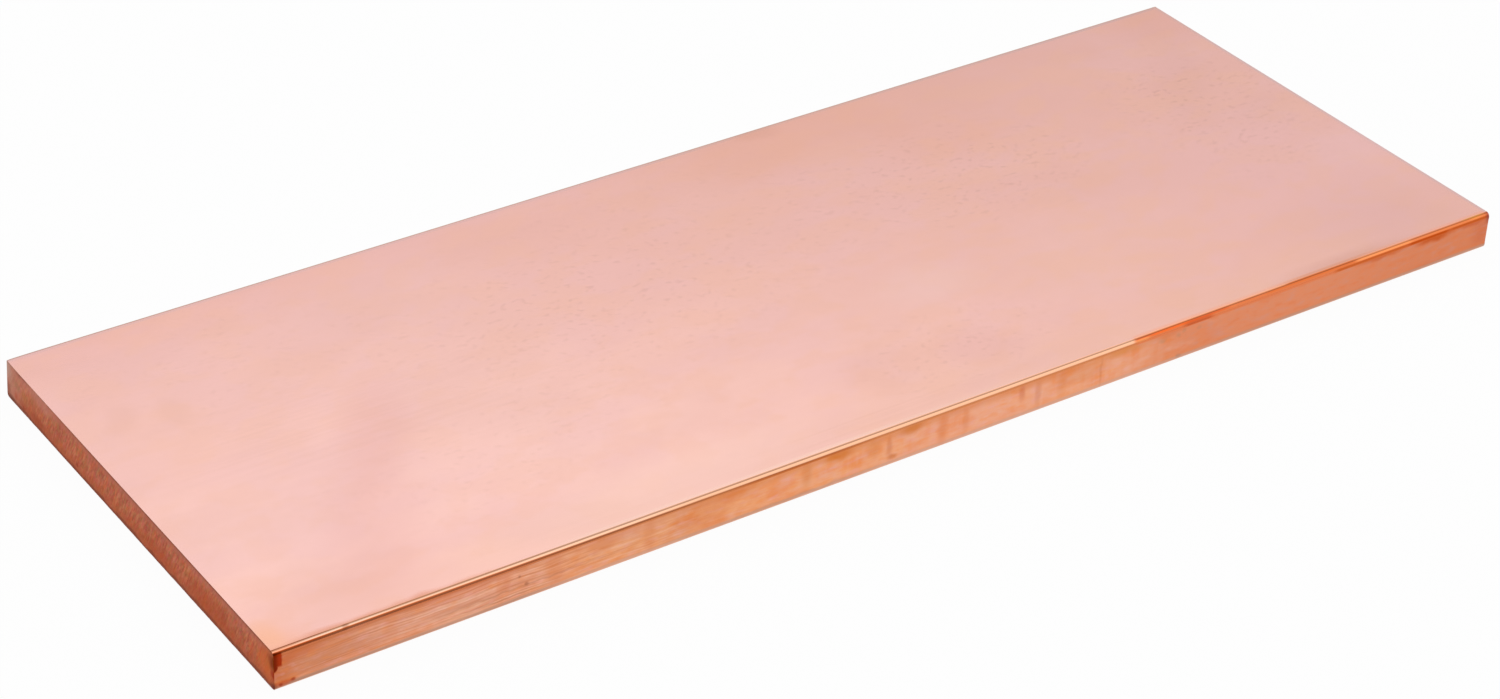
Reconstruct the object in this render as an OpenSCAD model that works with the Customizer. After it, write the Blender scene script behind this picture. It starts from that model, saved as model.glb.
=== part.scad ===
// A cut length of solid copper flat: rolled faces, drawn long edges and square sawn ends.
// It lies flat, with its length along X and its width along Y. The origin is the middle of
// the underside.

/* [Bar] */
// Length between the two sawn ends
bar_length = 205; // [60:1:600]
// Width across the rolled face
bar_width = 80; // [20:1:160]
// Thickness between the two rolled faces
bar_thickness = 6; // [3:0.5:20]

/* [Edges] */
// Radius that the drawing die leaves on the four long edges
edge_radius = 0.7; // [0.2:0.1:1.4]
// Burr taken off all round each sawn end
end_break = 0.1; // [0.05:0.05:0.3]

/* [Hidden] */
$fn = 64;

copper = [0.93, 0.70, 0.62];

// The long edges always leave a flat between them, and the break stays inside the rounding
edge_r = min(edge_radius, bar_thickness * 0.45);
break_d = min(end_break, edge_r * 0.8);

// Width and thickness of the straight runs between the rounded edges
flat_width = bar_width - 2 * edge_r;
flat_thickness = bar_thickness - 2 * edge_r;

// Outline along the bar at a depth of `height`, with the break at all four corners
module broken_outline(height) {
    x = bar_length / 2;
    y = height / 2;
    polygon([
        [-x, break_d - y], [break_d - x, -y],
        [x - break_d, -y], [x, break_d - y],
        [x, y - break_d], [x - break_d, y],
        [break_d - x, y], [-x, y - break_d]
    ]);
}

// Slab between the rounded edges, at the full thickness: it carries the two rolled faces
module rolled_slab() {
    rotate([90, 0, 0])
        linear_extrude(flat_width, center = true)
            broken_outline(bar_thickness);
}

// Slab between the rounded edges, at the full width: it carries the two long sides
module drawn_slab() {
    linear_extrude(flat_thickness, center = true)
        broken_outline(bar_width);
}

// Turned rod that fills one long edge. Its ends are coned, so the break runs round the corner
module edge_rod() {
    x = bar_length / 2;
    rotate([0, 90, 0])
        rotate_extrude()
            polygon([
                [0, -x], [edge_r - break_d, -x], [edge_r, break_d - x],
                [edge_r, x - break_d], [edge_r - break_d, x], [0, x]
            ]);
}

module strip() {
    color(copper)
        translate([0, 0, bar_thickness / 2]) {
            rolled_slab();
            drawn_slab();
            for (side = [-1, 1], face = [-1, 1])
                translate([0, side * flat_width / 2, face * flat_thickness / 2])
                    edge_rod();
        }
}

strip();
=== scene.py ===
"""Copper strip: a cut length of thick drawn copper flat, on a pale floor inside a white light tent."""

import math

import bpy
import numpy as np
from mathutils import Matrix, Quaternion, Vector, noise


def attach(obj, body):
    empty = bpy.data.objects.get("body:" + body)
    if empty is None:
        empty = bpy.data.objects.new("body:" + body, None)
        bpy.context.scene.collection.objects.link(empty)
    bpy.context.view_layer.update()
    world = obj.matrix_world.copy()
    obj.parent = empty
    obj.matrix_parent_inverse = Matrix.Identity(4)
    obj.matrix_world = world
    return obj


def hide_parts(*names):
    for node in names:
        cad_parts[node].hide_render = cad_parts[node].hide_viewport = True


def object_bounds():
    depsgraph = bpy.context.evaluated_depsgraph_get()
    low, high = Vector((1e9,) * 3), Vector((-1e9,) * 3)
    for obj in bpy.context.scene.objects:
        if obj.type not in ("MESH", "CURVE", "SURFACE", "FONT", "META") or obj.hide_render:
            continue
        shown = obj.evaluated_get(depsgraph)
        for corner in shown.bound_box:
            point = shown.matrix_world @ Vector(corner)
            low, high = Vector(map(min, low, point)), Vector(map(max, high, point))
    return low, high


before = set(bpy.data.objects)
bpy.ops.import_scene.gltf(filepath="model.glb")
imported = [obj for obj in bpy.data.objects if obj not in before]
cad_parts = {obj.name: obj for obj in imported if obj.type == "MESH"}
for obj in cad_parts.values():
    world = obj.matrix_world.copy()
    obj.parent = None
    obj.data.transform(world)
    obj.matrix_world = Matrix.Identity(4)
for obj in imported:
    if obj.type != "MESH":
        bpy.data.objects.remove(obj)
cad_low, cad_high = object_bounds()

MM = 0.001
LENGTH, WIDTH, THICKNESS = cad_high - cad_low
EDGE_RADIUS = 0.7 * MM      # left on the long edges by the drawing die
END_BREAK = 0.1 * MM        # burr taken off round the sawn ends
SAW_LEAN = math.radians(30)     # of the saw's marks, from upright


# ---------------------------------------------------------------- shape

ARC_STEPS = 8
BODY_STEP = 0.9 * MM        # between sections along the strip
FLAT_STEP = 1.3 * MM        # across the rolled faces
SIDE_STEP = 0.55 * MM       # down the long sides
END_STEP = 0.2 * MM         # round the sawn ends, fine enough for the saw's marks
END_RINGS = 13              # from a sawn end's edge to its middle line
END_REACH = 1.0 * MM        # from the end to the last section of the body
END_FINE = 0.6 * MM         # from the end to where the sections turn fine
ROLLED, DRAWN, SAWN = 0, 1, 2


def run(length, step):
    """Distances along a flat, closer beside the rounded edges, so that their shading ends there."""
    close = np.array([0.0, 0.12, 0.45]) * MM
    count = max(2, round((length - 2 * close[-1]) / step))
    middle = np.linspace(close[-1], length - close[-1], count + 1)
    return np.concatenate([close[:-1], middle, (length - close[:-1])[::-1]])


def section():
    """The strip's outline across its width, clockwise seen from its left end.

    Rows of (y, z, normal y, normal z), and for each step to the next row its finish."""
    half = np.array([WIDTH / 2 - EDGE_RADIUS, THICKNESS / 2 - EDGE_RADIUS])
    rows, finishes = [], []
    for quarter in range(4):
        along = np.array([(1, 0), (0, -1), (-1, 0), (0, 1)][quarter])
        normal = np.array([(0, 1), (1, 0), (0, -1), (-1, 0)][quarter])
        centre = half * (along + normal)
        rolled = quarter % 2 == 0
        length = 2 * half[0 if rolled else 1]
        steps = run(length, FLAT_STEP if rolled else SIDE_STEP)
        for distance in steps[:-1]:
            place = centre + EDGE_RADIUS * normal + (distance - length) * along
            rows.append([*place, *normal])
            finishes.append(ROLLED if rolled else DRAWN)
        for step in range(ARC_STEPS):
            turn = math.radians(90 * step / ARC_STEPS)
            outward = math.cos(turn) * normal + math.sin(turn) * along
            rows.append([*(centre + EDGE_RADIUS * outward), *outward])
            finishes.append(DRAWN)
    rows = np.array(rows)
    rows[:, 1] += THICKNESS / 2
    return rows, finishes


def divided(rows):
    """The outline with steps of END_STEP at most, and how many each step was divided into."""
    fine, counts = [], []
    for row, after in zip(rows, np.roll(rows, -1, axis=0)):
        # the 0.01 keeps whole a step that only rounding makes too long
        count = max(1, math.ceil(np.linalg.norm(after[:2] - row[:2]) / END_STEP - 0.01))
        fine += [row + (after - row) * k / count for k in range(count)]
        counts.append(count)
    return np.array(fine), counts


def ramp(value, low, high):
    """0 below low, 1 above high, and smooth between them."""
    t = np.clip((value - low) / (high - low), 0, 1)
    return t * t * (3 - 2 * t)


def bumps(x, y, z, size):
    """Smooth hills from 0 to 1 that are about `size` wide."""
    return 0.5 + 0.5 * noise.noise(Vector((x, y, z)) / size)


def rolled_dip(x, y, z):
    """How far the rolled face lies under its plane: the mill's slow waves, level at every edge."""
    depth = 0.03 * MM * bumps(x, y, z * 40, 17 * MM) + 0.008 * MM * bumps(x, y, z * 40, 5 * MM)
    inside = min(WIDTH / 2 - abs(y) - EDGE_RADIUS, LENGTH / 2 - abs(x))
    return depth * ramp(inside, 0.4 * MM, 6 * MM)


def drawn_dip(x, y, z):
    """How far the long side lies under its plane: long shallow lines left by the die."""
    depth = 0.012 * MM * bumps(x / 40, y * 10, z, 0.9 * MM) + 0.02 * MM * bumps(x, y * 10, z / 4, 6 * MM)
    return depth * ramp(min(z, THICKNESS - z), EDGE_RADIUS, 1.8 * EDGE_RADIUS)


def sawn_dip(x, y, z):
    """How far the sawn end lies under its plane: leaning scores a millimetre or so apart."""
    across = y * math.cos(SAW_LEAN) + z * math.sin(SAW_LEAN)
    down = z * math.cos(SAW_LEAN) - y * math.sin(SAW_LEAN)
    broad = bumps(across, down / 9, x * 50, 1.3 * MM)
    narrow = bumps(across, down / 12, x * 90, 0.45 * MM)
    return 0.035 * MM * broad + 0.018 * MM * narrow


def knocked(place):
    """The place moved in a little: both ends are cut 0.2 mm out of square, and one corner is blunt."""
    x, y, z = place
    along = x + LENGTH / 2
    away = along + WIDTH / 2 - y        # from the left back corner, which is the blunt one
    height = z / THICKNESS
    at_left = max(0, 1 - along / END_REACH)
    at_right = max(0, 1 - (LENGTH - along) / END_REACH)
    # the left end leans in at its top, more so at the back, and its lower edge is drawn in
    lean = (0.075 + 0.12 * (y / WIDTH + 0.5)) * MM * height * at_left
    lean += 0.07 * MM * (0.75 - 0.5 * y / WIDTH) * (1 - ramp(z, 0, EDGE_RADIUS)) * at_left
    # the right end leans in at its foot
    lean -= 0.2 * MM * (1 - height) * at_right
    blunt = (0.22 + 0.33 * height) * MM * (1 - ramp(away, 2 * MM, 9 * MM))
    pushed = (math.hypot(away, blunt) - away) / 2
    return place + np.array([lean + pushed, -pushed, 0])


def strip_mesh():
    """The whole strip as one closed mesh: body sections, then at each end the break and the sawn face."""
    rows, finishes = section()
    fine_rows, counts = divided(rows)
    places, faces, slots = [], [], []

    def ring(x, outline, inset=0.0, sawn=False):
        """Adds the outline's points at x, with the relief of their face, and gives their numbers."""
        first = len(places)
        for y, z, ny, nz in outline:
            place = np.array([x, y - ny * inset, z - nz * inset])
            if sawn:
                place[0] -= math.copysign(sawn_dip(*place), x)
            elif nz == 1:
                place[2] -= rolled_dip(*place)
            elif abs(ny) == 1:
                place[1] -= math.copysign(drawn_dip(*place), ny)
            places.append(knocked(place))
        return list(range(first, len(places)))

    def face(corners, slot, turned):
        """Adds a face, with its corners the other way round where it is on the left end."""
        if len(set(corners)) > 2:
            faces.append(corners[::-1] if turned else corners)
            slots.append(slot)

    def band(low, high, finish, turned=False):
        """Faces between two rings with as many points. finish is one, or one for each step."""
        for k in range(len(low)):
            after = (k + 1) % len(low)
            slot = finish[k] if isinstance(finish, list) else finish
            face([low[k], high[k], high[after], low[after]], slot, turned)

    def fan(coarse, fine, turned):
        """Faces between a coarse ring and a fine one, from each coarse step to its fine steps."""
        at = 0
        for k, count in enumerate(counts):
            a, b = coarse[k], coarse[(k + 1) % len(coarse)]
            edge = [fine[(at + j) % len(fine)] for j in range(count + 1)]
            half = count // 2
            if count == 1:
                face([a, edge[0], edge[1], b], finishes[k], turned)
            else:
                for j in range(count):
                    face([a if j < half else b, edge[j], edge[j + 1]], finishes[k], turned)
                face([a, edge[half], b], finishes[k], turned)
            at += count

    fine_finishes = [f for f, count in zip(finishes, counts) for _ in range(count)]
    reach = LENGTH / 2 - END_REACH
    stations = np.linspace(-reach, reach, round(2 * reach / BODY_STEP) + 1)
    body = [ring(x, rows) for x in stations]
    for low, high in zip(body, body[1:]):
        band(low, high, finishes)

    for side, start in ((1, body[-1]), (-1, body[0])):
        turned = side < 0
        before = ring(side * (LENGTH / 2 - END_FINE), fine_rows)
        fan(start, before, turned)
        edge = ring(side * (LENGTH / 2 - END_BREAK), fine_rows)
        band(before, edge, fine_finishes, turned)
        lip = ring(side * LENGTH / 2, fine_rows, inset=END_BREAK, sawn=True)
        band(edge, lip, SAWN, turned)
        middle = fine_rows.copy()
        middle_reach = (WIDTH - THICKNESS) / 2
        middle[:, 0] = np.clip(fine_rows[:, 0], -middle_reach, middle_reach)
        middle[:, 1] = THICKNESS / 2
        lip_rows = fine_rows[:, :2] - fine_rows[:, 2:] * END_BREAK
        for share in np.linspace(0, 1, END_RINGS + 1)[1:]:
            inner = fine_rows.copy()
            inner[:, :2] = lip_rows + (middle[:, :2] - lip_rows) * share
            nearer = ring(side * LENGTH / 2, inner, sawn=True)
            band(lip, nearer, SAWN, turned)
            lip = nearer

    mesh = bpy.data.meshes.new("copper_strip")
    mesh.from_pydata([tuple(p) for p in places], [], faces)
    mesh.polygons.foreach_set("material_index", slots)
    mesh.update()
    return mesh


# ---------------------------------------------------------------- finishes

# Places on the metal are in millimetres: x from the middle towards the right end, y from the middle
# towards the back, z up from the underside.
TOP = THICKNESS / MM
FRONT = -WIDTH / 2 / MM
LEFT_END = -LENGTH / 2 / MM
TINT_START = (34.2, 35.2)   # where the front edge turns deep orange
DEEP = 9                    # a mark's reach into the metal, past what its ragged outline needs


def colour(hex_code):
    """sRGB hex to the linear colour that the shaders take."""
    shares = [int(hex_code[k:k + 2], 16) / 255 for k in (0, 2, 4)]
    return (*(s / 12.92 if s <= 0.04045 else ((s + 0.055) / 1.055) ** 2.4 for s in shares), 1)


def put(tree, kind, inputs, **settings):
    """Adds a node, with its settings, and its inputs as values or as links from other nodes' outputs."""
    made = tree.nodes.new("ShaderNode" + kind)
    for name, value in settings.items():
        setattr(made, name, value)
    for name, value in inputs.items():
        if isinstance(value, bpy.types.NodeSocket):
            tree.links.new(value, made.inputs[name])
        else:
            made.inputs[name].default_value = value
    return made


def bare_metal(name):
    """A new material's tree, its metal shader, and the place on the strip in millimetres."""
    material = bpy.data.materials.new(name)
    material.use_nodes = True
    tree = material.node_tree
    shader = tree.nodes["Principled BSDF"]
    shader.inputs["Metallic"].default_value = 1.0
    place = put(tree, "TexCoord", {}).outputs["Object"]
    in_mm = put(tree, "VectorMath", {0: place, "Scale": 1 / MM}, operation="SCALE").outputs[0]
    return material, tree, shader, in_mm


def grain(tree, in_mm, size, seed=0.0, detail=2.0):
    """Cloudy pattern from 0 to 1 whose features measure `size` mm along X, Y and Z."""
    shrink = tuple(1 / s for s in size)
    place = put(tree, "VectorMath", {0: in_mm, 1: shrink, 2: (seed, seed, seed)},
                operation="MULTIPLY_ADD").outputs[0]
    return put(tree, "TexNoise", {"Vector": place, "Scale": 1.0, "Detail": detail}).outputs[0]


def between(tree, value, low, high, to=(0.0, 1.0)):
    """value taken smoothly from low..high to the two numbers in `to`."""
    return put(tree, "MapRange", {"Value": value, 1: low, 2: high, 3: to[0], 4: to[1]},
               interpolation_type="SMOOTHSTEP").outputs[0]


def times(tree, *values):
    """The values multiplied together."""
    result = values[0]
    for value in values[1:]:
        result = put(tree, "Math", {0: result, 1: value}, operation="MULTIPLY").outputs[0]
    return result


def within(tree, value, low, high, rim):
    """1 where value is between low and high, and 0 outside, with each rim as soft as `rim`."""
    return times(tree, between(tree, value, low - rim, low + rim),
                 between(tree, value, high + rim, high - rim))


def ragged(tree, in_mm, size, reach):
    """The place shifted by up to `reach` mm, in swirls `size` mm across: it tears a mark's outline."""
    swirl = put(tree, "TexNoise", {"Vector": in_mm, "Scale": 1 / size, "Detail": 2.0}).outputs["Color"]
    shift = put(tree, "VectorMath", {0: swirl, 1: (0.5, 0.5, 0.5)}, operation="SUBTRACT").outputs[0]
    return put(tree, "VectorMath", {0: shift, 1: (2 * reach,) * 3, 2: in_mm},
               operation="MULTIPLY_ADD").outputs[0]


def mark(tree, place, centre, size, lean=(0, 0, 0), soft=0.8):
    """A patch that is 1 in its middle and 0 from `size` mm away from it, turned by `lean`."""
    spot = put(tree, "TexGradient", {"Vector": place}, gradient_type="SPHERICAL")
    fit = spot.texture_mapping
    fit.vector_type = "TEXTURE"
    fit.translation, fit.rotation, fit.scale = centre, lean, size
    return between(tree, spot.outputs["Fac"], 0.0, soft)


def painted(tree, under, layers):
    """under with each (mask, hex colour) laid over it in turn."""
    for mask, over in layers:
        under = put(tree, "Mix", {0: mask, 6: under, 7: colour(over)}, data_type="RGBA").outputs[2]
    return under


def rolled_copper():
    """Bright cold-rolled copper: pale pink, a soft mirror, with faint roll lines, specks and smudges."""
    material, tree, shader, in_mm = bare_metal("rolled_copper")
    torn = ragged(tree, in_mm, 8.0, 1.6)
    x, y = put(tree, "SeparateXYZ", {0: in_mm}).outputs[:2]
    clouds = between(tree, grain(tree, in_mm, (22, 13, 20), detail=4), 0.35, 0.7)
    turned = put(tree, "VectorRotate", {"Vector": in_mm, "Angle": 0.9}, rotation_type="Z_AXIS").outputs[0]
    wisps = between(tree, grain(tree, turned, (4, 11, 20), seed=30, detail=3), 0.42, 0.7)
    pinker = between(tree, grain(tree, in_mm, (17, 11, 20), seed=21, detail=3), 0.42, 0.6)
    peachy = between(tree, grain(tree, in_mm, (7, 5, 20), seed=27, detail=3), 0.45, 0.62)
    # the real roll lines are some hundredths of a millimetre wide: these are as coarse as they need to show
    lines = between(tree, grain(tree, in_mm, (70, 0.4, 40), seed=3), 0.35, 0.75)
    specks = between(tree, grain(tree, in_mm, (1.1, 0.8, 8), seed=11, detail=1), 0.58, 0.74)
    paint = painted(tree, colour("FDCBC0"), [
        # painted shade: darker to the right and to the back
        (between(tree, x, -60, 85), "F7C0B4"),
        (times(tree, between(tree, y, -30, 42), 0.85), "F5BDB2"),
        # patterns
        (times(tree, clouds, 0.12), "F0B9AC"),
        (times(tree, wisps, 0.08), "EDB4A8"),
        (times(tree, pinker, 0.33), "F5C2C0"),
        (times(tree, peachy, between(tree, x, 10, 50, (0.27, 0.36))), "F8C0A8"),
        (times(tree, lines, 0.06), "F0B7A5"),
        (times(tree, lines, mark(tree, in_mm, (-66.0, 0.0, TOP), (52.0, 15.0, DEEP)), 0.07), "DFA392"),
        (times(tree, lines, mark(tree, in_mm, (-22.0, -36.6, TOP), (62.0, 3.0, DEEP)), 0.13), "DFA090"),
        # paler towards the left end, painted light; a painted light line along the front edge; and tints
        # along the edges, front, back and right
        (times(tree, between(tree, x, -22, -52), between(tree, y, -34, -18),
               between(tree, y, 38, 26), 0.13), "FFD8D4"),
        (times(tree, between(tree, y, -38.4, -39.0), between(tree, x, -64, -54),
               between(tree, x, 30, -25), 0.8), "FFD6C6"),
        (times(tree, between(tree, y, -38.5, -39.1), between(tree, x, *TINT_START)), "FDB69E"),
        (times(tree, between(tree, y, -38.5, -39.1), between(tree, x, 60, 66),
               between(tree, x, 82, 76)), "EEA488"),
        (times(tree, between(tree, y, 38.5, 39.0), 0.6), "E6BCB9"),
        (times(tree, between(tree, y, 38.6, 39.1), between(tree, x, -10, 10), 0.5), "D2B6B6"),
        (times(tree, between(tree, y, -29, -36), between(tree, x, -98, -84),
               between(tree, x, 94, 78), 0.20), "FAC4A6"),
        (times(tree, between(tree, x, 101.6, 102.2), 0.9), "E4BFBC"),
    ])
    # where the specks gather
    for centre, size, strength in (
        ((-30.0, 6.0), (40.0, 30.0), 0.07),
        ((46.0, 12.0), (30.0, 24.0), 0.13),
        ((-76.0, 22.0), (38.0, 26.0), 0.06),
        ((0.0, 16.0), (70.0, 34.0), 0.08),
        ((12.0, -27.0), (26.0, 14.0), 0.11),
        ((88.0, 6.0), (22.0, 34.0), 0.16),
        ((-60.0, -16.0), (40.0, 18.0), 0.07),
    ):
        speckled = times(tree, mark(tree, torn, (*centre, TOP), (*size, DEEP)), specks, strength)
        paint = painted(tree, paint, [(speckled, "C48674")])
    for centre, size, turn, strength, over in (
        # smudges
        ((-67.0, -3.0), (7.0, 19.0), -27, 0.17, "E4A59A"),
        ((-78.0, -22.0), (9.5, 30.0), -27, 0.26, "EAAEA8"),
        ((-52.5, 26.0), (8.0, 14.0), -27, 0.08, "E8B2AA"),
        ((-95.4, 17.2), (3.4, 5.4), -20, 0.16, "DEA88A"),
        ((-88.5, 15.6), (4.0, 4.8), -20, 0.15, "DEA88A"),
        ((22.5, 38.6), (5.0, 3.2), 0, 0.30, "D49A86"),
        ((89.0, 16.0), (7.0, 20.0), -30, 0.09, "D59C8E"),
        ((95.0, 3.0), (12.0, 6.0), 25, 0.05, "D59C8E"),
        ((-1.0, -27.0), (9.0, 7.5), 20, 0.10, "D89C8A"),
        ((14.5, -29.0), (9.0, 7.0), -10, 0.11, "D89880"),
        ((50.0, 2.0), (34.0, 8.0), -22, 0.07, "E0A898"),
        # broad tints: the top's own mottling, with painted light paler at the front left, painted shade
        # darker at the back right, and a painted dark line along the front edge near the left end
        ((45.0, -18.0), (24.0, 19.0), 0, 0.10, "FCCCB2"),
        ((50.0, 40.0), (60.0, 14.0), 0, 0.35, "EEB4A3"),
        ((101.0, 36.0), (15.0, 13.0), 0, 0.25, "EAA68C"),
        ((97.0, -13.0), (10.0, 9.0), 0, 0.35, "F6C8CA"),
        ((19.0, -12.0), (12.0, 8.0), 0, 0.30, "FAD0CC"),
        ((5.0, 20.0), (13.0, 18.0), 0, 0.16, "F6BEA2"),
        ((-92.0, 10.0), (15.0, 18.0), 0, 0.12, "F8C2A8"),
        ((86.0, -10.0), (24.0, 22.0), 0, 0.22, "F4BFC0"),
        ((-80.0, -16.0), (30.0, 24.0), -27, 0.14, "F9C9C8"),
        ((75.0, -39.4), (18.0, 3.4), 0, 0.30, "D1937E"),
        ((94.0, -36.0), (24.0, 12.0), 0, 0.12, "E9AE9E"),
        ((-102.0, -40.0), (7.0, 8.0), 0, 0.50, "F4AC86"),
        ((-84.0, -40.0), (27.0, 1.7), 0, 0.90, "E39878"),
        ((-42.0, -35.0), (36.0, 9.0), 0, 0.50, "FFD2C6"),
        ((-94.0, -33.0), (16.0, 11.0), 0, 0.14, "E6AA96"),
        ((-101.3, -36.5), (2.4, 4.5), 0, 0.35, "FCBC92"),
        ((24.0, 35.0), (36.0, 14.0), 0, 0.30, "F2B092"),
        ((47.0, 23.0), (20.0, 12.0), 0, 0.22, "F2AE8C"),
        ((87.0, -30.0), (25.0, 14.0), 0, 0.22, "E2B0B0"),
    ):
        patch = mark(tree, torn, (*centre, TOP), (*size, DEEP), (0, 0, math.radians(turn)))
        paint = painted(tree, paint, [(times(tree, patch, strength), over)])
    tree.links.new(paint, shader.inputs["Base Color"])
    rough = between(tree, clouds, 0.0, 1.0, (0.17, 0.21))
    tree.links.new(rough, shader.inputs["Roughness"])
    relief = put(tree, "Bump", {"Height": lines, "Strength": 1.0, "Distance": 0.0006 * MM})
    tree.links.new(relief.outputs[0], shader.inputs["Normal"])
    return material


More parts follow.
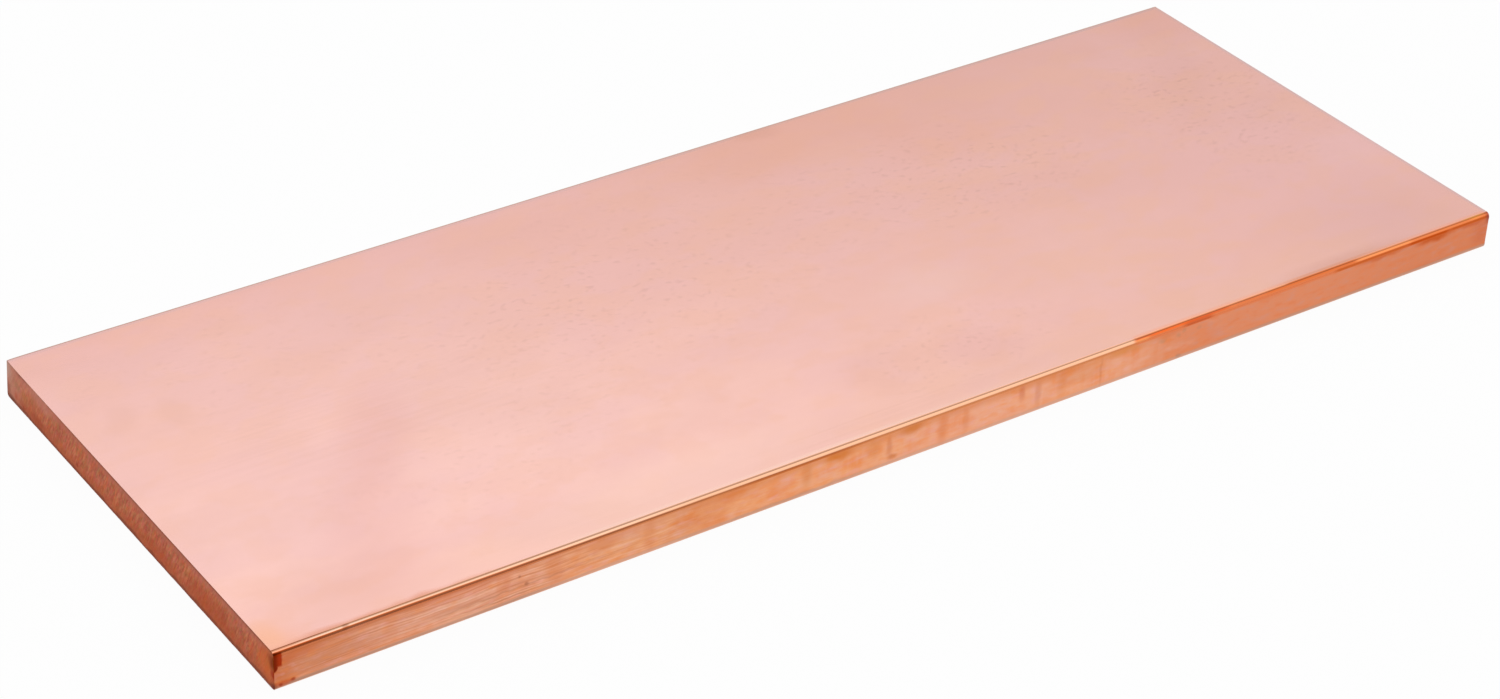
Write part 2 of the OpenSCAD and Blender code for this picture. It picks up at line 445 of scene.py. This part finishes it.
def drawn_copper():
    """Copper drawn through a die: orange, satin, lined along its length, burnished on its round edges,
    where its highlight and the dark lines beside it are painted in.
    """
    material, tree, shader, in_mm = bare_metal("drawn_copper")
    torn = ragged(tree, in_mm, 2.5, 0.5)
    x, y, z = put(tree, "SeparateXYZ", {0: in_mm}).outputs
    torn_axes = put(tree, "SeparateXYZ", {0: torn}).outputs
    torn_x, torn_z = torn_axes[0], torn_axes[2]
    # upward is 0 on the flat side and 1 at the top face, so it tells the height on a rounded edge
    facing = put(tree, "TexCoord", {}).outputs["Normal"]
    upward = put(tree, "SeparateXYZ", {0: facing}).outputs[2]
    # the real die lines are finer than 0.1 mm: these are as coarse as they need to show
    wavy = ragged(tree, in_mm, 9.0, 0.5)
    lines = between(tree, grain(tree, wavy, (24, 8, 0.3), seed=2, detail=4), 0.42, 0.66)
    fibres = between(tree, grain(tree, wavy, (5, 8, 0.22), seed=17, detail=3), 0.42, 0.66)
    streaks = between(tree, grain(tree, in_mm, (1.5, 8, 11), seed=5, detail=3), 0.38, 0.62)
    mottle = between(tree, grain(tree, in_mm, (1.4, 8, 0.8), seed=9, detail=3), 0.35, 0.7)
    patches = between(tree, grain(tree, in_mm, (6, 8, 2.2), seed=13, detail=5), 0.45, 0.66)
    paler = between(tree, grain(tree, in_mm, (4, 8, 1.5), seed=33, detail=5), 0.48, 0.68)
    sheen = between(tree, grain(tree, wavy, (22, 8, 0.42), seed=44, detail=3), 0.46, 0.68)
    hues = grain(tree, in_mm, (2.6, 8, 0.9), seed=41, detail=3)
    left = between(tree, x, -52, -72)
    right = between(tree, x, 26, 46)
    middle = times(tree, between(tree, x, -34, -12), between(tree, x, 45, 30))
    paint = painted(tree, colour("F4AC7C"), [
        # along the side
        (times(tree, between(tree, x, -14, 4), 0.7), "F5AF90"),
        (times(tree, between(tree, x, 8, 22), 0.6), "F3AA7C"),
        (right, "E38F69"),
        (times(tree, between(tree, x, 60, 100), 0.8), "DA825A"),
        (times(tree, left, 0.9), "F2AC90"),
        (times(tree, between(tree, x, -78, -98), 0.9), "D98F6F"),
        (times(tree, between(tree, x, -98.6, -101.8), 0.8), "CE6E3E"),
        (times(tree, between(tree, x, 98.8, 102.0), 0.5), "CC6A48"),
        # patterns
        (times(tree, patches, between(tree, x, 60, 30),
               between(tree, x, -40, -60, (0.52, 0.32))), "EC823C"),
        (times(tree, paler, between(tree, x, 60, 30),
               between(tree, x, -40, -60, (0.42, 0.25))), "EEB8A4"),
        (times(tree, lines, left, 0.70), "C67E58"),
        (times(tree, fibres, between(tree, x, -25, -70, (0.0, 0.50))), "CA7646"),
        (times(tree, fibres, between(tree, x, -70, -25),
               between(tree, x, 40, 0, (0.12, 0.22))), "EE7E42"),
        (times(tree, sheen, between(tree, x, -20, -60), between(tree, x, -99, -82), 0.50), "FFCDAE"),
        (times(tree, streaks, middle, 0.36), "F0B498"),
        (times(tree, mottle, between(tree, x, -20, -40), 0.22), "D67A48"),
        (times(tree, mottle, between(tree, x, -40, -20), 0.16), "F28444"),
        (times(tree, between(tree, hues, 0.48, 0.32), between(tree, x, 44, 34), 0.30), "F4903E"),
        (times(tree, between(tree, hues, 0.52, 0.68), between(tree, x, 44, 34), 0.28), "F0AEAA"),
        (times(tree, between(tree, hues, 0.48, 0.32), between(tree, x, 34, 44), 0.24), "E47234"),
        (times(tree, between(tree, hues, 0.52, 0.68), between(tree, x, 34, 44), 0.24), "D09A90"),
        # bands near the upper and the lower edge; the greyer and darker bands along the foot are painted
        # shade, the floor's contact shadow seen in the metal, and the warm band at the very foot is painted
        # light from the floor beside it
        (times(tree, between(tree, z, 1.6, 0.9), between(tree, z, 0.3, 0.8), 0.30), "EC9868"),
        (times(tree, between(tree, z, 3.9, 5.1), between(tree, x, 44, 34),
               between(tree, x, -66, -34, (0.10, 0.45))), "DA7E3C"),
        (times(tree, between(tree, z, 4.85, 5.3), between(tree, x, -58, -74), 0.60), "C06A3C"),
        # painted shade along the foot, then painted warm light at the very foot
        (times(tree, between(tree, z, 1.1, 0.7), 0.62), "D2A893"),
        (times(tree, between(tree, z, 1.15, 0.7), between(tree, x, 34, 62), 0.4), "B08068"),
        (times(tree, between(tree, z, 1.0, 0.6), between(tree, x, -90, -97), 0.3), "A06A50"),
        (times(tree, between(tree, z, 1.05, 0.65), between(tree, x, -55, -70), 0.5), "A87A64"),
        (times(tree, between(tree, z, 0.5, 0.25), 0.85), "FFB288"),
    ])
    for (along, height), (long, high), strength, over in (
        # long tints near the left end
        ((-80.0, 2.9), (20.0, 1.6), 0.20, "D8A898"),
        ((-99.5, 4.7), (6.0, 1.4), 0.60, "CC6A3C"),
        ((-95.0, 2.8), (6.0, 1.6), 0.30, "CE8862"),
        ((-75.0, 2.5), (8.0, 0.8), 0.38, "CC8460"),
        ((-75.0, 5.0), (9.0, 1.0), 0.36, "DB7F5D"),
        ((-76.0, 1.0), (9.0, 0.6), 0.25, "F0B898"),
        ((-50.0, 4.7), (10.0, 1.2), 0.40, "ECAC92"),
        ((-90.0, 4.9), (4.0, 1.0), 0.12, "DC9C84"),
        ((-102.2, 2.4), (1.3, 1.1), 0.50, "C4642C"),
        # upright handling marks on the left
        ((-86.0, 3.0), (1.6, 5.0), 0.25, "DB8048"),
        ((-69.9, 3.0), (0.8, 4.5), 0.20, "DA7A44"),
        ((-68.9, 3.8), (0.9, 2.6), 0.32, "DA7A44"),
        ((-61.6, 3.4), (2.0, 4.0), 0.40, "DC7E46"),
        ((-54.2, 4.4), (3.4, 1.8), 0.40, "DE8048"),
        ((-47.0, 3.4), (1.4, 4.4), 0.30, "DE8048"),
        ((-38.5, 3.0), (6.0, 3.0), 0.40, "E0824A"),
        ((-33.5, 4.6), (5.0, 1.6), 0.40, "DE8048"),
        # two specks, two deep die lines, and a stretch of painted shade along the foot
        ((-66.8, 3.9), (0.4, 0.3), 0.40, "8C5038"),
        ((-65.8, 2.6), (0.5, 0.4), 0.50, "8C4A30"),
        ((-67.0, 2.4), (19.0, 0.25), 0.35, "B47250"),
        ((-71.0, 1.4), (11.0, 0.22), 0.35, "B47250"),
        ((-26.0, 0.7), (22.0, 0.5), 0.28, "B08068"),
        # handling marks in the middle, and the orange beside them
        ((-22.0, 3.6), (1.4, 3.2), 0.35, "D07C48"),
        ((-16.8, 4.9), (3.4, 1.5), 0.75, "D8782A"),
        ((-11.0, 4.0), (1.8, 2.4), 0.35, "D88448"),
        ((-4.6, 5.0), (3.0, 1.3), 0.70, "D6782A"),
        ((-8.3, 3.2), (0.8, 2.6), 0.42, "CE6E32"),
        ((-7.8, 1.5), (1.0, 0.6), 0.50, "C4682A"),
        ((0.7, 3.2), (1.3, 3.6), 0.48, "E07C40"),
        ((4.6, 3.4), (1.0, 3.2), 0.40, "E08048"),
        ((14.3, 4.3), (0.8, 1.9), 0.45, "CE6C48"),
        ((17.2, 3.2), (0.8, 3.2), 0.36, "CE7446"),
        ((21.4, 3.4), (1.2, 3.0), 0.25, "D87E48"),
        ((25.0, 3.6), (7.0, 1.7), 0.40, "DE8A56"),
        ((28.3, 3.0), (0.4, 3.6), 0.35, "D27E50"),
        ((32.0, 5.1), (4.0, 1.0), 0.50, "E08A3C"),
        # grey specks right of the middle
        ((42.5, 0.7), (0.7, 0.5), 0.40, "9E8474"),
        ((39.4, 4.4), (0.9, 0.6), 0.28, "A4886C"),
        ((42.4, 4.3), (0.8, 0.55), 0.28, "A4886C"),
        ((43.4, 4.8), (0.6, 0.5), 0.28, "A4886C"),
        ((46.2, 4.5), (0.7, 0.5), 0.20, "A4886C"),
        ((49.5, 2.6), (2.6, 1.4), 0.25, "D8907C"),
        # orange below the tinted edge, and under its highlight a line of painted shade
        ((40.5, 5.1), (4.5, 0.8), 0.35, "DC7444"),
        ((81.0, 5.3), (6.5, 0.8), 0.70, "D06028"),
        ((91.5, 5.2), (5.5, 1.1), 0.90, "CC5608"),
        ((99.0, 5.3), (4.0, 0.7), 0.70, "CC5A28"),
        ((100.2, 3.2), (2.6, 3.6), 0.22, "D0683C"),
    ):
        patch = mark(tree, torn, (along, FRONT, height), (long, DEEP, high))
        paint = painted(tree, paint, [(times(tree, patch, strength), over)])
    # the burnished band, which also paints the edge's highlight, keeps higher up towards the left end; just
    # under the top face a painted dark line is the painted reflection of the tent's dim seam
    lowered = put(tree, "Math", {0: upward, 1: between(tree, x, -12, -95, (0.0, 0.31))},
                  operation="SUBTRACT").outputs[0]
    burnish_and_highlight = between(tree, lowered, 0.42, 0.56)
    raised = put(tree, "Math", {0: upward, 1: between(tree, x, -30, -90, (0.0, 0.03))},
                 operation="SUBTRACT").outputs[0]
    shoulder_shade = times(tree, between(tree, raised, 0.905, 0.965),
                     between(tree, upward, 1.0, 0.992, (0.4, 1.0)))
    # painted shade under the highlight, on the edge's lower turn
    lower_turn_shade = between(tree, upward, 0.02, 0.15)
    front = between(tree, y, -30, -38)
    tinted = times(tree, front, between(tree, torn_x, *TINT_START), between(tree, upward, 0.0, 0.12))
    paint = painted(tree, paint, [
        # the rounded edge from its lower turn up: painted shade under the highlight, the burnished finish
        # with its painted highlight, and painted dark lines beside it
        (times(tree, lower_turn_shade, 0.85), "DA8856"),
        (times(tree, lower_turn_shade, between(tree, x, -38, -28), between(tree, x, -8, -18), 0.9), "C86E3A"),
        (times(tree, lower_turn_shade, between(tree, x, -25, -80), 0.9), "D3784F"),
        (times(tree, lower_turn_shade, mark(tree, torn, (-90.5, FRONT, 5.2), (5.0, 3, 1.0)), 0.35), "DA9274"),
        (times(tree, between(tree, upward, 0.56, 0.62), between(tree, x, -50, -90), 0.8), "C4622E"),
        (burnish_and_highlight, "EFB592"),
        (times(tree, burnish_and_highlight, between(tree, x, -38, -52), 0.8), "F6C1A2"),
        (times(tree, burnish_and_highlight, between(tree, x, -82, -94), 0.8), "FFCFB4"),
        (times(tree, between(tree, upward, 0.22, 0.36), between(tree, upward, 0.72, 0.62),
               between(tree, x, -30, -42), between(tree, x, -72, -60), 0.30), "B8642C"),
        (times(tree, between(tree, upward, 0.93, 0.985), between(tree, x, -60, -40), 0.7), "FFBE9A"),
        (times(tree, shoulder_shade, between(tree, x, -48, -92, (0.0, 0.85))), "D6804C"),
        (times(tree, between(tree, upward, 0.30, 0.45), between(tree, upward, 0.70, 0.60),
               between(tree, x, -40, -48), between(tree, x, -62, -54), 0.30), "AE7052"),
        (times(tree, between(tree, upward, 0.972, 0.988), between(tree, x, -93, -97), 0.80), "A8542E"),
        (times(tree, between(tree, upward, 0.30, 0.45), between(tree, upward, 0.84, 0.74),
               between(tree, x, -93, -98), 0.50), "CE5414"),
        (times(tree, between(tree, upward, 0.74, 0.84), between(tree, upward, 0.985, 0.965),
               between(tree, x, -96, -101), 0.80), "F4A078"),
        (tinted, "D67646"),
        (times(tree, tinted, between(tree, upward, 0.6, 0.48)), "E88152"),
        (times(tree, between(tree, y, 38.5, 39), between(tree, upward, 0.05, 0.3), 0.7), "D8B4A6"),
    ])
    # the tint's stretches, from first to last along the strip and from low to high up the edge; the light
    # stretches paint the edge's highlight, and the deep ones low down the shade under it
    for (first, last), (low, high), strength, over in (
        ((33, 52), (0.66, 0.955), 0.7, "CC5A2E"),
        ((37.5, 44.5), (0.60, 0.98), 0.6, "EA6A2C"),
        ((43.5, 48.5), (0.10, 0.82), 0.6, "C64E20"),
        ((53, 60), (0.70, 0.96), 0.5, "C66840"),
        ((59, 76), (0.66, 0.97), 0.9, "CE6A38"),
        ((76.3, 87), (0.60, 1.2), 0.9, "EA9058"),
        ((87, 110), (0.60, 1.2), 0.6, "DC7C48"),
        ((72, 86), (-0.2, 0.58), 0.9, "D06329"),
        ((86, 94.5), (-0.2, 0.58), 0.95, "C84F0C"),
        ((94.5, 110), (-0.2, 0.58), 0.9, "CB5B1E"),
        ((33.6, 37), (0.30, 0.80), 0.6, "F29A5C"),
        ((33, 63), (0.955, 1.2), 0.9, "FFA878"),
        ((63, 76), (0.970, 1.2), 0.9, "F08A56"),
        ((76, 110), (0.975, 1.2), 0.9, "F09A72"),
        ((97.5, 101.5), (0.93, 1.2), 0.7, "DE9C4A"),
        ((99.0, 100.6), (0.62, 0.95), 0.3, "F0A040"),
    ):
        along = within(tree, torn_x, first, last, 0.9)
        turn = within(tree, upward, low, high, 0.05)
        paint = painted(tree, paint, [(times(tree, tinted, along, turn, strength), over)])
    # the stain on the left corner, with its drip
    stain = times(tree, front, between(tree, torn_x, -101.0, -101.35), between(tree, torn_z, 3.5, 3.9),
                  between(tree, torn_z, 5.75, 5.5))
    drip = mark(tree, torn, (-102.6, FRONT, 3.8), (0.85, 3, 1.2), soft=0.3)
    stained = put(tree, "Math", {0: stain, 1: drip}, operation="MAXIMUM").outputs[0]
    paint = painted(tree, paint, [
        (times(tree, stained, 0.95), "A62C02"),
        (times(tree, stained, between(tree, x, -101.5, -102.2), 0.90), "761E00"),
        (times(tree, mark(tree, torn, (-102.5, FRONT, 0.8), (0.8, 3, 0.8)), 0.7), "7A3A20"),
        (times(tree, mark(tree, torn, (102.5, -39.8, 5.2), (1.1, 1.6, 1.3)), 0.8), "98423A"),
        (times(tree, mark(tree, torn, (-101.0, FRONT, 0.9), (2.2, 3, 0.7)), 0.7), "C4501E"),
        (times(tree, mark(tree, torn, (-101.4, FRONT, 0.8), (0.5, 3, 0.3)), 0.7), "9A3014"),
        (times(tree, mark(tree, torn, (-99.8, FRONT, 0.9), (0.5, 3, 0.4)), 0.7), "9A3014"),
        (times(tree, mark(tree, torn, (-92.0, -39.8, 5.8), (0.8, 1, 0.4)), 0.45), "984A22"),
    ])
    tree.links.new(paint, shader.inputs["Base Color"])
    rough = between(tree, upward, 0.05, 0.6, (0.34, 0.12))
    tree.links.new(rough, shader.inputs["Roughness"])
    relief = put(tree, "Bump", {"Height": lines, "Strength": 1.0, "Distance": 0.001 * MM})
    tree.links.new(relief.outputs[0], shader.inputs["Normal"])
    return material


def sawn_copper():
    """Sawn copper: matt and reddish brown, scored by leaning saw marks, darker along its lower edge."""
    material, tree, shader, in_mm = bare_metal("sawn_copper")
    torn = ragged(tree, in_mm, 2.0, 0.6)
    leaning = put(tree, "VectorRotate", {"Vector": in_mm, "Angle": -SAW_LEAN},
                  rotation_type="X_AXIS").outputs[0]
    # scores from 1.5 mm to 0.3 mm wide; the saw's finest, under 0.1 mm, would not show
    broad = between(tree, grain(tree, leaning, (9, 1.5, 6), seed=1, detail=4), 0.40, 0.62)
    orange = between(tree, grain(tree, leaning, (9, 1.0, 3.4), seed=6, detail=5), 0.46, 0.62)
    pink = between(tree, grain(tree, leaning, (9, 0.7, 2.6), seed=15, detail=5), 0.49, 0.64)
    olive = between(tree, grain(tree, leaning, (9, 0.5, 2.0), seed=24, detail=5), 0.49, 0.64)
    fine = between(tree, grain(tree, leaning, (9, 0.3, 1.4), seed=8, detail=3), 0.42, 0.68)
    bright = between(tree, grain(tree, leaning, (9, 0.34, 1.7), seed=28, detail=3), 0.46, 0.68)
    dirt = between(tree, grain(tree, in_mm, (9, 0.6, 0.5), seed=18, detail=2), 0.62, 0.74)
    hues = grain(tree, leaning, (9, 0.4, 0.9), seed=52, detail=3)
    y, z = put(tree, "SeparateXYZ", {0: in_mm}).outputs[1:]
    low = put(tree, "SeparateXYZ", {0: torn}).outputs[2]
    paint = painted(tree, colour("B86E50"), [
        (times(tree, broad, 0.70), "9E5A40"),
        (times(tree, orange, 0.62), "CA6E38"),
        (times(tree, pink, 0.46), "BC766E"),
        (times(tree, olive, 0.36), "92703C"),
        (times(tree, fine, 0.65), "8A4A34"),
        (times(tree, bright, 0.56), "D08C68"),
        (times(tree, between(tree, hues, 0.48, 0.36), 0.40), "98804E"),
        (times(tree, between(tree, hues, 0.52, 0.64), 0.40), "BC564A"),
        (times(tree, dirt, between(tree, z, 3.5, 1.0, (0.1, 0.6))), "8E3E22"),
        (times(tree, between(tree, z, 0.5, 0.9), between(tree, z, 1.5, 1.1), 0.2), "8A7D5C"),
        (times(tree, between(tree, z, 4.6, 5.6), 0.50), "AE7262"),
        (times(tree, between(tree, low, 3.4, 0.9), 0.55), "A8522C"),
        (times(tree, between(tree, y, 31, 40), 0.6), "BC9482"),
        (times(tree, between(tree, low, 1.0, 0.45), 0.80), "6A3C28"),
        (times(tree, between(tree, z, 5.5, 5.9), between(tree, y, 10, 30, (0.5, 0.0))), "8E5646"),
        (times(tree, between(tree, z, 5.88, 5.96), between(tree, y, 10, -10), 0.6), "9C5640"),
    ])
    for centre, size, strength, over in (
        # towards the back
        ((28.5, 5.3), (8.0, 2.0), 0.5, "BE8C7A"),
        ((30.5, 3.2), (3.5, 2.6), 0.4, "B2704A"),
        ((29.5, 1.4), (3.0, 1.2), 0.7, "96482A"),
        ((34.0, 1.4), (3.0, 1.0), 0.5, "9E5232"),
        ((17.0, 1.5), (0.6, 0.4), 0.6, "743020"),
        # oranger towards the front
        ((-7.0, 2.2), (7.0, 2.6), 0.4, "A4481E"),
        ((-23.0, 2.6), (10.0, 3.0), 0.5, "A4481E"),
        ((-38.0, 3.4), (4.0, 3.6), 0.6, "CC6828"),
        # the stain, round from the front side
        ((-40.0, 4.2), (3.2, 2.6), 0.45, "B0622A"),
        ((-40.2, 4.3), (1.8, 1.9), 0.9, "702C00"),
        ((-39.9, 2.6), (0.9, 1.1), 0.9, "962A08"),
        ((-40.0, 0.5), (1.0, 1.0), 0.75, "5A2A26"),
        # the blunt back corner
        ((36.2, 3.6), (1.6, 1.2), 0.4, "8C7450"),
        ((36.6, 1.6), (0.7, 1.0), 0.5, "A44420"),
        ((33.6, 2.9), (1.4, 1.4), 0.4, "A87438"),
        ((34.0, 1.0), (1.0, 0.6), 0.5, "8E2E14"),
        ((38.6, 0.6), (2.6, 0.9), 0.6, "5A3A2C"),
        ((34.5, 5.9), (3.0, 0.5), 0.4, "7E4A40"),
        ((40.4, 4.8), (3.4, 2.6), 0.9, "B4A698"),
        ((39.4, 1.7), (1.5, 1.8), 0.5, "6E4436"),
    ):
        patch = mark(tree, torn, (LEFT_END, *centre), (DEEP, *size))
        paint = painted(tree, paint, [(times(tree, patch, strength), over)])
    tree.links.new(paint, shader.inputs["Base Color"])
    shader.inputs["Roughness"].default_value = 0.42
    shader.inputs["Specular Tint"].default_value = colour("FFCBC5")
    relief = put(tree, "Bump", {"Height": fine, "Strength": 1.0, "Distance": 0.01 * MM})
    tree.links.new(relief.outputs[0], shader.inputs["Normal"])
    return material


strip = bpy.data.objects.new("copper_strip", strip_mesh())
bpy.context.collection.objects.link(strip)
for finish in (rolled_copper(), drawn_copper(), sawn_copper()):
    strip.data.materials.append(finish)
strip.data.shade_smooth()
strip.data.set_sharp_from_angle(angle=math.radians(30))
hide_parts("strip")
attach(strip, "root")


# ---------------------------------------------------------------- floor, light and camera

def pale_floor():
    """White floor that keeps the strip's shadow, and shows white to the camera and in the metal."""
    material = bpy.data.materials.new("white_floor")
    material.use_nodes = True
    tree = material.node_tree
    paint = tree.nodes["Principled BSDF"]
    paint.inputs["Base Color"].default_value = colour("F4F4F4")
    paint.inputs["Roughness"].default_value = 0.9
    path = put(tree, "LightPath", {})
    glossy = times(tree, path.outputs["Is Glossy Ray"], 0.9)
    seen = times(tree, path.outputs["Is Camera Ray"], 0.96)
    share = put(tree, "Math", {0: glossy, 1: seen}, operation="MAXIMUM").outputs[0]
    glow = put(tree, "Emission", {"Strength": 1.0})
    mixed = put(tree, "MixShader", {0: share, 1: paint.outputs[0], 2: glow.outputs[0]})
    tree.links.new(mixed.outputs[0], tree.nodes["Material Output"].inputs["Surface"])
    return material


FLOOR_SIZE = 6              # metres, far past what the camera sees
FLOOR_GAP = 0.02 * MM       # under the strip, so that the two don't share a plane
bpy.ops.mesh.primitive_plane_add(size=FLOOR_SIZE, location=(0, 0, -FLOOR_GAP))
floor = bpy.context.object
floor.name = "floor"
floor.data.materials.append(pale_floor())


def direction(azimuth, elevation):
    """Unit vector: azimuth turns from +Y towards +X, elevation is above the floor, in degrees."""
    a, e = math.radians(azimuth), math.radians(elevation)
    return (math.sin(a) * math.cos(e), math.cos(a) * math.cos(e), math.sin(e))


def light_tent():
    """White tent: a bright sheet behind, bright panels, and the dark opening that is looked through."""
    world = bpy.data.worlds.new("light_tent")
    world.use_nodes = True
    tree = world.node_tree
    tree.nodes.clear()
    facing = put(tree, "TexCoord", {}).outputs["Generated"]
    x, y, z = put(tree, "SeparateXYZ", {0: facing}).outputs
    around = put(tree, "Math", {0: x, 1: y}, operation="ARCTAN2").outputs[0]
    around = put(tree, "Math", {0: around, 1: math.radians(270), 2: math.radians(-90)},
                 operation="WRAP").outputs[0]
    azimuth = times(tree, around, math.degrees(1))
    elevation = times(tree, put(tree, "Math", {0: z}, operation="ARCSINE").outputs[0], math.degrees(1))
    level = 0.79        # of the plain cloth
    for (first, last, edge), (low, high, rim), change in (
        ((-70, 62, 10), (31.5, 44, 4.5), 0.27),     # bright sheet behind
        ((18, 88, 8), (50, 66, 4), -0.24),          # dim seam above it
        ((98, 149, 5), (28, 70, 6), 0.50),          # bright panel front right
        ((98, 149, 5), (8, 28, 6), 0.24),           # its dimmer foot
        ((153, 215, 5), (-20, 46, 6), -0.46),       # dark opening in front
        ((-60, 60, 10), (-5, 14, 5), -0.20),        # shaded foot of the sheet
    ):
        across = within(tree, azimuth, first, last, edge)
        up = within(tree, elevation, low, high, rim)
        patch = times(tree, across, up, change)
        level = put(tree, "Math", {0: level, 1: patch}, operation="ADD").outputs[0]
    seen = put(tree, "LightPath", {}).outputs["Is Camera Ray"]
    tent = put(tree, "Background", {"Color": (1, 1, 1, 1), "Strength": level})
    white = put(tree, "Background", {"Color": (1, 1, 1, 1), "Strength": 1.0})
    mixed = put(tree, "MixShader", {0: seen, 1: tent.outputs[0], 2: white.outputs[0]})
    put(tree, "OutputWorld", {"Surface": mixed.outputs[0]})
    return world


bpy.context.scene.world = light_tent()


CAMERA_AIM = (-10.45, -8.99, 3.0)       # millimetres, half way up the strip
CAMERA_TURN = (34.539, -32.369)         # azimuth and elevation that it looks in, in degrees
CAMERA_ROLL = -1.375                    # degrees
CAMERA_AWAY = 0.52787                   # metres from what it looks at
CAMERA_LENS = 89.32                     # millimetres, long, on a sensor 36 wide


def stand_camera():
    """Camera with a long lens, looking down along the strip from its front left."""
    ahead = Vector(direction(*CAMERA_TURN))
    lens = bpy.data.cameras.new("camera")
    lens.sensor_width = 36
    lens.lens = CAMERA_LENS
    lens.clip_start = 0.01
    camera = bpy.data.objects.new("camera", lens)
    camera.location = Vector(CAMERA_AIM) * MM - ahead * CAMERA_AWAY
    camera.rotation_mode = "QUATERNION"
    level = ahead.to_track_quat("-Z", "Y")
    camera.rotation_quaternion = Quaternion(ahead, math.radians(CAMERA_ROLL)) @ level
    bpy.context.collection.objects.link(camera)
    bpy.context.scene.camera = camera


stand_camera()
bpy.context.scene.view_settings.view_transform = "Standard"
